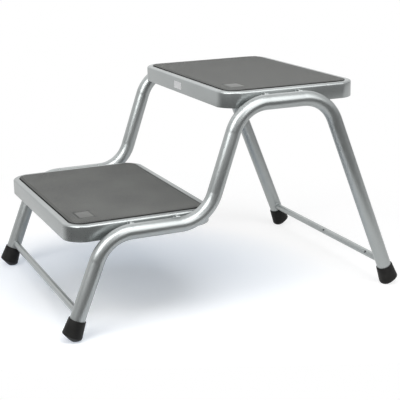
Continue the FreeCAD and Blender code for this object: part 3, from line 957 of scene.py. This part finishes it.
def rubber_grain_group():
    """Fine moulded grain, and a bloom of dust that gathers in patches."""
    group, start, end = new_group(
        "rubber_grain", {"Grain Scale": 2600.0, "Bloom Scale": 22.0}, ("Grain", "Bloom"))
    place = node(group, "ShaderNodeTexCoord").outputs["Object"]
    for label, detail in (("Grain", 2.0), ("Bloom", 5.0)):
        texture = node(group, "ShaderNodeTexNoise")
        texture.inputs["Detail"].default_value = detail
        link(group, place, texture.inputs["Vector"])
        link(group, start.outputs[f"{label} Scale"], texture.inputs["Scale"])
        link(group, texture.outputs["Fac"], end.inputs[label])
    return group


SPRAYED_PAINT = sprayed_paint_group()
RUBBER_GRAIN = rubber_grain_group()


def bumpy(tree, surface, height, depth, strength):
    """Feed a height into the surface's normal."""
    bump = node(tree, "ShaderNodeBump")
    bump.inputs["Strength"].default_value = strength
    bump.inputs["Distance"].default_value = depth
    link(tree, height, bump.inputs["Height"])
    link(tree, bump.outputs["Normal"], surface.inputs["Normal"])


def silver_paint(name):
    """Silver-grey metallic paint: flake, cloudy spray and a fine orange peel."""
    finish, tree, surface = new_finish(name)
    spray = node(tree, "ShaderNodeGroup", node_tree=SPRAYED_PAINT)
    flake = ranged(tree, spray.outputs["Flake"], 0.0, 0.45)
    cloud = ranged(tree, spray.outputs["Cloud"], 0.0, 0.55, 0.3, 0.7)
    link(tree, blend_colours(tree, sums(tree, "ADD", flake, cloud), PAINT_DARK, PAINT_LIGHT),
         surface.inputs["Base Color"])
    rough_spread = sums(tree, "ADD", spray.outputs["Cloud"], spray.outputs["Flake"])
    link(tree, ranged(tree, rough_spread, *PAINT_ROUGHNESS, 0.4, 1.5), surface.inputs["Roughness"])
    surface.inputs["Metallic"].default_value = 0.9
    height = sums(tree, "ADD", spray.outputs["Peel"], sums(tree, "MULTIPLY", spray.outputs["Flake"], 0.2))
    bumpy(tree, surface, height, 0.06 * MM, 0.35)
    return finish


def mat_rubber():
    """Grey tread rubber: stud tops and the plain panel paler, dust bloom between them, and the sides near
    black as painted shade for the dark line between mat and rim.
    """
    finish, tree, surface = new_finish("mat_rubber")
    grain = node(tree, "ShaderNodeGroup", node_tree=RUBBER_GRAIN)
    grain.inputs["Bloom Scale"].default_value = 10.0
    share = sums(tree, "ADD", ranged(tree, grain.outputs["Bloom"], 0.0, 0.7, 0.3, 0.7),
                 ranged(tree, grain.outputs["Grain"], 0.0, 0.3))
    grey = blend_colours(tree, share, MAT_DARK, MAT_LIGHT)
    paleness_and_shade = node(tree, "ShaderNodeAttribute", attribute_name="paleness_and_shade")
    paler = ranged(tree, paleness_and_shade.outputs["Fac"], 0.0, 0.6, 0.0, PANEL_PALENESS["upper"])
    grey = blend_colours(tree, paler, grey, MAT_PALE_TOP)
    # The sides, marked minus one, go near black: painted shade for the dark line between the mat and the
    # pan's rim.
    side_shade = ranged(tree, paleness_and_shade.outputs["Fac"], 1.0, 0.0, -1.0, 0.0)
    link(tree, blend_colours(tree, side_shade, grey, MAT_SIDE_SHADE), surface.inputs["Base Color"])
    link(tree, ranged(tree, grain.outputs["Bloom"], 0.55, 0.75, 0.3, 0.7), surface.inputs["Roughness"])
    surface.inputs["Specular IOR Level"].default_value = 0.3
    bumpy(tree, surface, grain.outputs["Grain"], 0.05 * MM, 0.5)
    return finish


def foot_rubber():
    """Black moulded rubber with a faint grey bloom."""
    finish, tree, surface = new_finish("foot_rubber")
    grain = node(tree, "ShaderNodeGroup", node_tree=RUBBER_GRAIN)
    grain.inputs["Bloom Scale"].default_value = 60.0
    share = ranged(tree, grain.outputs["Bloom"], 0.0, 1.0, 0.35, 0.75)
    link(tree, blend_colours(tree, share, FOOT_DARK, FOOT_LIGHT),
         surface.inputs["Base Color"])
    link(tree, ranged(tree, grain.outputs["Grain"], 0.42, 0.6), surface.inputs["Roughness"])
    surface.inputs["Specular IOR Level"].default_value = 0.16
    bumpy(tree, surface, grain.outputs["Grain"], 0.06 * MM, 0.5)
    return finish


def washer_steel():
    """Zinc-coated steel with a faint spangle."""
    finish, tree, surface = new_finish("washer_steel")
    spray = node(tree, "ShaderNodeGroup", node_tree=SPRAYED_PAINT)
    spray.inputs["Flake Scale"].default_value = 400.0
    link(tree, blend_colours(tree, spray.outputs["Flake"], ZINC_DARK, ZINC_LIGHT),
         surface.inputs["Base Color"])
    link(tree, ranged(tree, spray.outputs["Cloud"], 0.3, 0.45), surface.inputs["Roughness"])
    surface.inputs["Metallic"].default_value = 1.0
    return finish


def sticker_paper():
    """Blank white label paper with a slight tooth."""
    finish, tree, surface = new_finish("sticker_paper")
    grain = node(tree, "ShaderNodeGroup", node_tree=RUBBER_GRAIN)
    link(tree, blend_colours(tree, grain.outputs["Bloom"], STICKER_DARK, STICKER_LIGHT),
         surface.inputs["Base Color"])
    link(tree, ranged(tree, grain.outputs["Grain"], 0.4, 0.5), surface.inputs["Roughness"])
    bumpy(tree, surface, grain.outputs["Grain"], 0.02 * MM, 0.3)
    return finish


FRAME_PAINT = silver_paint("frame_paint")
PAN_PAINT = silver_paint("pan_paint")
MAT_RUBBER = mat_rubber()
FOOT_RUBBER = foot_rubber()
WASHER_STEEL = washer_steel()
STICKER_PAPER = sticker_paper()


# Put the step together

for side in SIDES:
    fit_to_frame(side_tube(side), "frame_paint", FRAME_PAINT, f"{side}_side_tube")

for step in STEPS:
    fit_to_frame(press_pan(step), "pan_paint", PAN_PAINT, f"{step}_step_pan")
    fit_to_frame(fold_stiffener(step), "pan_paint", PAN_PAINT, f"{step}_pan_stiffener")
    fit_to_frame(tread_mat(step), "mat_rubber", MAT_RUBBER, f"{step}_tread_mat")

pattern_tab = weld_tab()
for step, rail_height in zip(STEPS, (LOWER_RAIL_HEIGHT, UPPER_RAIL_HEIGHT)):
    for side in SIDES:
        for end in ENDS:
            low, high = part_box(f"{step}_{side}_{end}_tab")
            place = Matrix.Translation((rail_place(side), (low.y + high.y) / 2, rail_height))
            facing = Matrix.Identity(4) if side == "right" else Matrix.Rotation(math.pi, 4, "Z")
            tab = copy_of(pattern_tab, f"{step}_{side}_{end}_welded_tab", place @ facing)
            fit_to_frame(tab, "frame_paint", FRAME_PAINT, f"{step}_{side}_{end}_tab")
drop(pattern_tab)

for end in ENDS:
    fit_to_frame(stretcher(end), "frame_paint", FRAME_PAINT, f"{end}_stretcher")
    pattern_foot = rubber_foot(end)
    for side in SIDES:
        fit_to_frame(stretcher_weld(end, side), "frame_paint", FRAME_PAINT)
        place = Matrix.Translation((rail_place(side), FLOOR_PLACE[end], 0))
        foot = copy_of(pattern_foot, f"{end}_{side}_rubber_foot", place)
        fit_to_frame(foot, "foot_rubber", FOOT_RUBBER, f"{end}_{side}_foot")
        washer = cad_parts[f"{end}_{side}_foot_washer"]
        washer.data.materials.clear()
        washer.data.materials.append(WASHER_STEEL)
    drop(pattern_foot)

fit_to_frame(blank_sticker(), "pan_paint", STICKER_PAPER)


# Floor, light and camera

PAPER_SIZE = 8.0
PAPER_COLOUR = (0.96, 0.925, 0.88)
PAPER_FAR_COLOUR = (0.36, 0.36, 0.36)
# Near the fade's middle the paper glows faintly and bluish: painted light that lifts the step's shadow and
# tints it blue. Further off the glow turns to plain white.
PAPER_GLOW = 0.2
PAPER_FAR_GLOW = 0.77
PAPER_GLOW_COLOUR = (0.8, 0.97, 1.2)
PAPER_FRONT_EDGE = -0.48
PAPER_CAMERA_EDGE = 0.45
PAPER_FADE = (0.12, 0.46)
PAPER_PLAIN = (0.6, 1.0)
PAPER_FADE_MIDDLE = (0.02, -0.17, 0)

ROOM_FILL = 0.05
ROOM_COLOUR = (0.9, 0.96, 1.06)
ROOM_LOW = 0.24
ROOM_HIGH = 1.0
ROOM_RISE = (0.0, 0.3)
BACKDROP_SIDE = (-1.0, 0.0, 0.0)
BACKDROP_SPREAD = (0.15, 0.6)
LAMP_AIM = Vector((0, 0, 0.25))

VIEW_AZIMUTH = math.radians(66.366)
VIEW_ELEVATION = math.radians(15.728)
VIEW_ROLL = math.radians(-1.1)
VIEW_PLACE = Vector((1.85039, -0.78928, 0.72363))
VIEW_LENS = 92.805
VIEW_SIDE = Vector((math.sin(VIEW_AZIMUTH), -math.cos(VIEW_AZIMUTH), 0))


def seen_rays(tree):
    """One for rays that show the background: straight from the camera, off gloss or through glass."""
    rays = node(tree, "ShaderNodeLightPath")
    seen = sums(tree, "MAXIMUM", rays.outputs["Is Camera Ray"], rays.outputs["Is Glossy Ray"])
    return sums(tree, "MAXIMUM", seen, rays.outputs["Is Transmission Ray"]), rays


def paper_floor():
    """White paper that keeps the shadow, shows as plain white further off and is clear from below."""
    put_down()
    bpy.ops.mesh.primitive_plane_add(size=PAPER_SIZE, location=(0, 0, 0))
    floor = named("paper_floor")
    open_up(floor)
    for edge_place, facing in ((VIEW_SIDE * PAPER_CAMERA_EDGE, VIEW_SIDE),
                               (Vector((0, PAPER_FRONT_EDGE, 0)), Vector((0, -1, 0)))):
        bpy.ops.mesh.select_all(action="SELECT")
        bpy.ops.mesh.bisect(plane_co=edge_place, plane_no=facing, clear_outer=True)
    put_down()
    finish, tree, surface = new_finish("paper_floor")
    place = node(tree, "ShaderNodeTexCoord").outputs["Object"]
    far = node(tree, "ShaderNodeVectorMath", operation="DISTANCE")
    far.inputs[1].default_value = PAPER_FADE_MIDDLE
    link(tree, place, far.inputs[0])
    fade = ranged(tree, far.outputs["Value"], 0.0, 1.0, *PAPER_FADE)
    plain = ranged(tree, far.outputs["Value"], 0.0, 1.0, *PAPER_PLAIN)
    seen, _ = seen_rays(tree)
    paper = blend_colours(tree, sums(tree, "MULTIPLY", fade, seen), PAPER_COLOUR, PAPER_FAR_COLOUR)
    paper = blend_colours(tree, sums(tree, "MULTIPLY", plain, seen), paper, (0, 0, 0))
    link(tree, paper, surface.inputs["Base Color"])
    surface.inputs["Roughness"].default_value = 0.9
    surface.inputs["Specular IOR Level"].default_value = 0.0
    link(tree, blend_colours(tree, fade, PAPER_GLOW_COLOUR, (1, 1, 1)), surface.inputs["Emission Color"])
    glow = sums(tree, "ADD", ranged(tree, fade, PAPER_GLOW, PAPER_FAR_GLOW),
                ranged(tree, plain, 0.0, 1.0 - PAPER_FAR_GLOW))
    link(tree, sums(tree, "MULTIPLY", seen, glow), surface.inputs["Emission Strength"])
    below = node(tree, "ShaderNodeNewGeometry").outputs["Backfacing"]
    link(tree, sums(tree, "SUBTRACT", 1.0, below), surface.inputs["Alpha"])
    floor.data.materials.append(finish)


def studio_world():
    """White behind the step, a dark room low down on the other sides, and a soft fill."""
    world = bpy.data.worlds.new("studio")
    bpy.context.scene.world = world
    world.use_nodes = True
    tree = world.node_tree
    tree.nodes.clear()
    output = node(tree, "ShaderNodeOutputWorld")
    seen, rays = seen_rays(tree)
    direction = node(tree, "ShaderNodeTexCoord").outputs["Generated"]
    towards = node(tree, "ShaderNodeVectorMath", operation="DOT_PRODUCT")
    towards.inputs[1].default_value = BACKDROP_SIDE
    link(tree, direction, towards.inputs[0])
    dark = ranged(tree, towards.outputs["Value"], 1.0, 0.0, *BACKDROP_SPREAD)
    dark = sums(tree, "MULTIPLY", dark, sums(tree, "SUBTRACT", 1.0, rays.outputs["Is Camera Ray"]))
    backdrop = node(tree, "ShaderNodeBackground")
    backdrop.inputs["Color"].default_value = (1, 1, 1, 1)
    height = node(tree, "ShaderNodeSeparateXYZ")
    link(tree, direction, height.inputs[0])
    room = ranged(tree, height.outputs["Z"], ROOM_LOW, ROOM_HIGH, *ROOM_RISE)
    lost = sums(tree, "MULTIPLY", dark, sums(tree, "SUBTRACT", 1.0, room))
    link(tree, sums(tree, "SUBTRACT", 1.0, lost), backdrop.inputs["Strength"])
    fill = node(tree, "ShaderNodeBackground")
    fill.inputs["Color"].default_value = (*ROOM_COLOUR, 1)
    fill.inputs["Strength"].default_value = ROOM_FILL
    mix = node(tree, "ShaderNodeMixShader")
    link(tree, seen, mix.inputs[0])
    link(tree, fill.outputs[0], mix.inputs[1])
    link(tree, backdrop.outputs[0], mix.inputs[2])
    link(tree, mix.outputs[0], output.inputs["Surface"])


def softbox(name, place, size, glow):
    """A soft lamp aimed at the step, as bright all over as its glow says."""
    put_down()
    bpy.ops.object.light_add(type="AREA", location=place)
    lamp = bpy.context.object
    lamp.name = name
    lamp.data.shape = "RECTANGLE"
    lamp.data.size = size.x
    lamp.data.size_y = size.y
    lamp.data.energy = glow * math.pi * size.x * size.y
    lamp.rotation_euler = (LAMP_AIM - Vector(place)).to_track_quat("-Z", "Y").to_euler()
    lamp.visible_camera = False


def photo_camera():
    """The photograph's own view."""
    back = Vector((VIEW_SIDE.x * math.cos(VIEW_ELEVATION), VIEW_SIDE.y * math.cos(VIEW_ELEVATION),
                   math.sin(VIEW_ELEVATION)))
    level = Vector((math.cos(VIEW_AZIMUTH), math.sin(VIEW_AZIMUTH), 0))
    upright = back.cross(level)
    right = level * math.cos(VIEW_ROLL) + upright * math.sin(VIEW_ROLL)
    up = upright * math.cos(VIEW_ROLL) - level * math.sin(VIEW_ROLL)
    put_down()
    bpy.ops.object.camera_add(location=VIEW_PLACE)
    camera = bpy.context.object
    camera.name = "photo_camera"
    turn = Matrix((right, up, back)).transposed()
    camera.rotation_euler = turn.to_euler()
    camera.data.sensor_width = 36.0
    camera.data.sensor_fit = "HORIZONTAL"
    camera.data.lens = VIEW_LENS
    camera.data.clip_start = 0.05
    bpy.context.scene.camera = camera


paper_floor()
studio_world()
softbox("key_softbox", place=(0.8, -0.25, 1.95), size=Vector((1.2, 1.2)), glow=3.4)
softbox("right_softbox", place=(1.5, 0.55, 1.45), size=Vector((1.7, 1.7)), glow=2.1)
softbox("left_softbox", place=(0.72, -1.43, 1.45), size=Vector((1.1, 1.4)), glow=4.6)
softbox("back_softbox", place=(-1.5, 0.0, 1.6), size=Vector((3.2, 1.4)), glow=0.5)
photo_camera()
bpy.context.scene.view_settings.view_transform = "Standard"
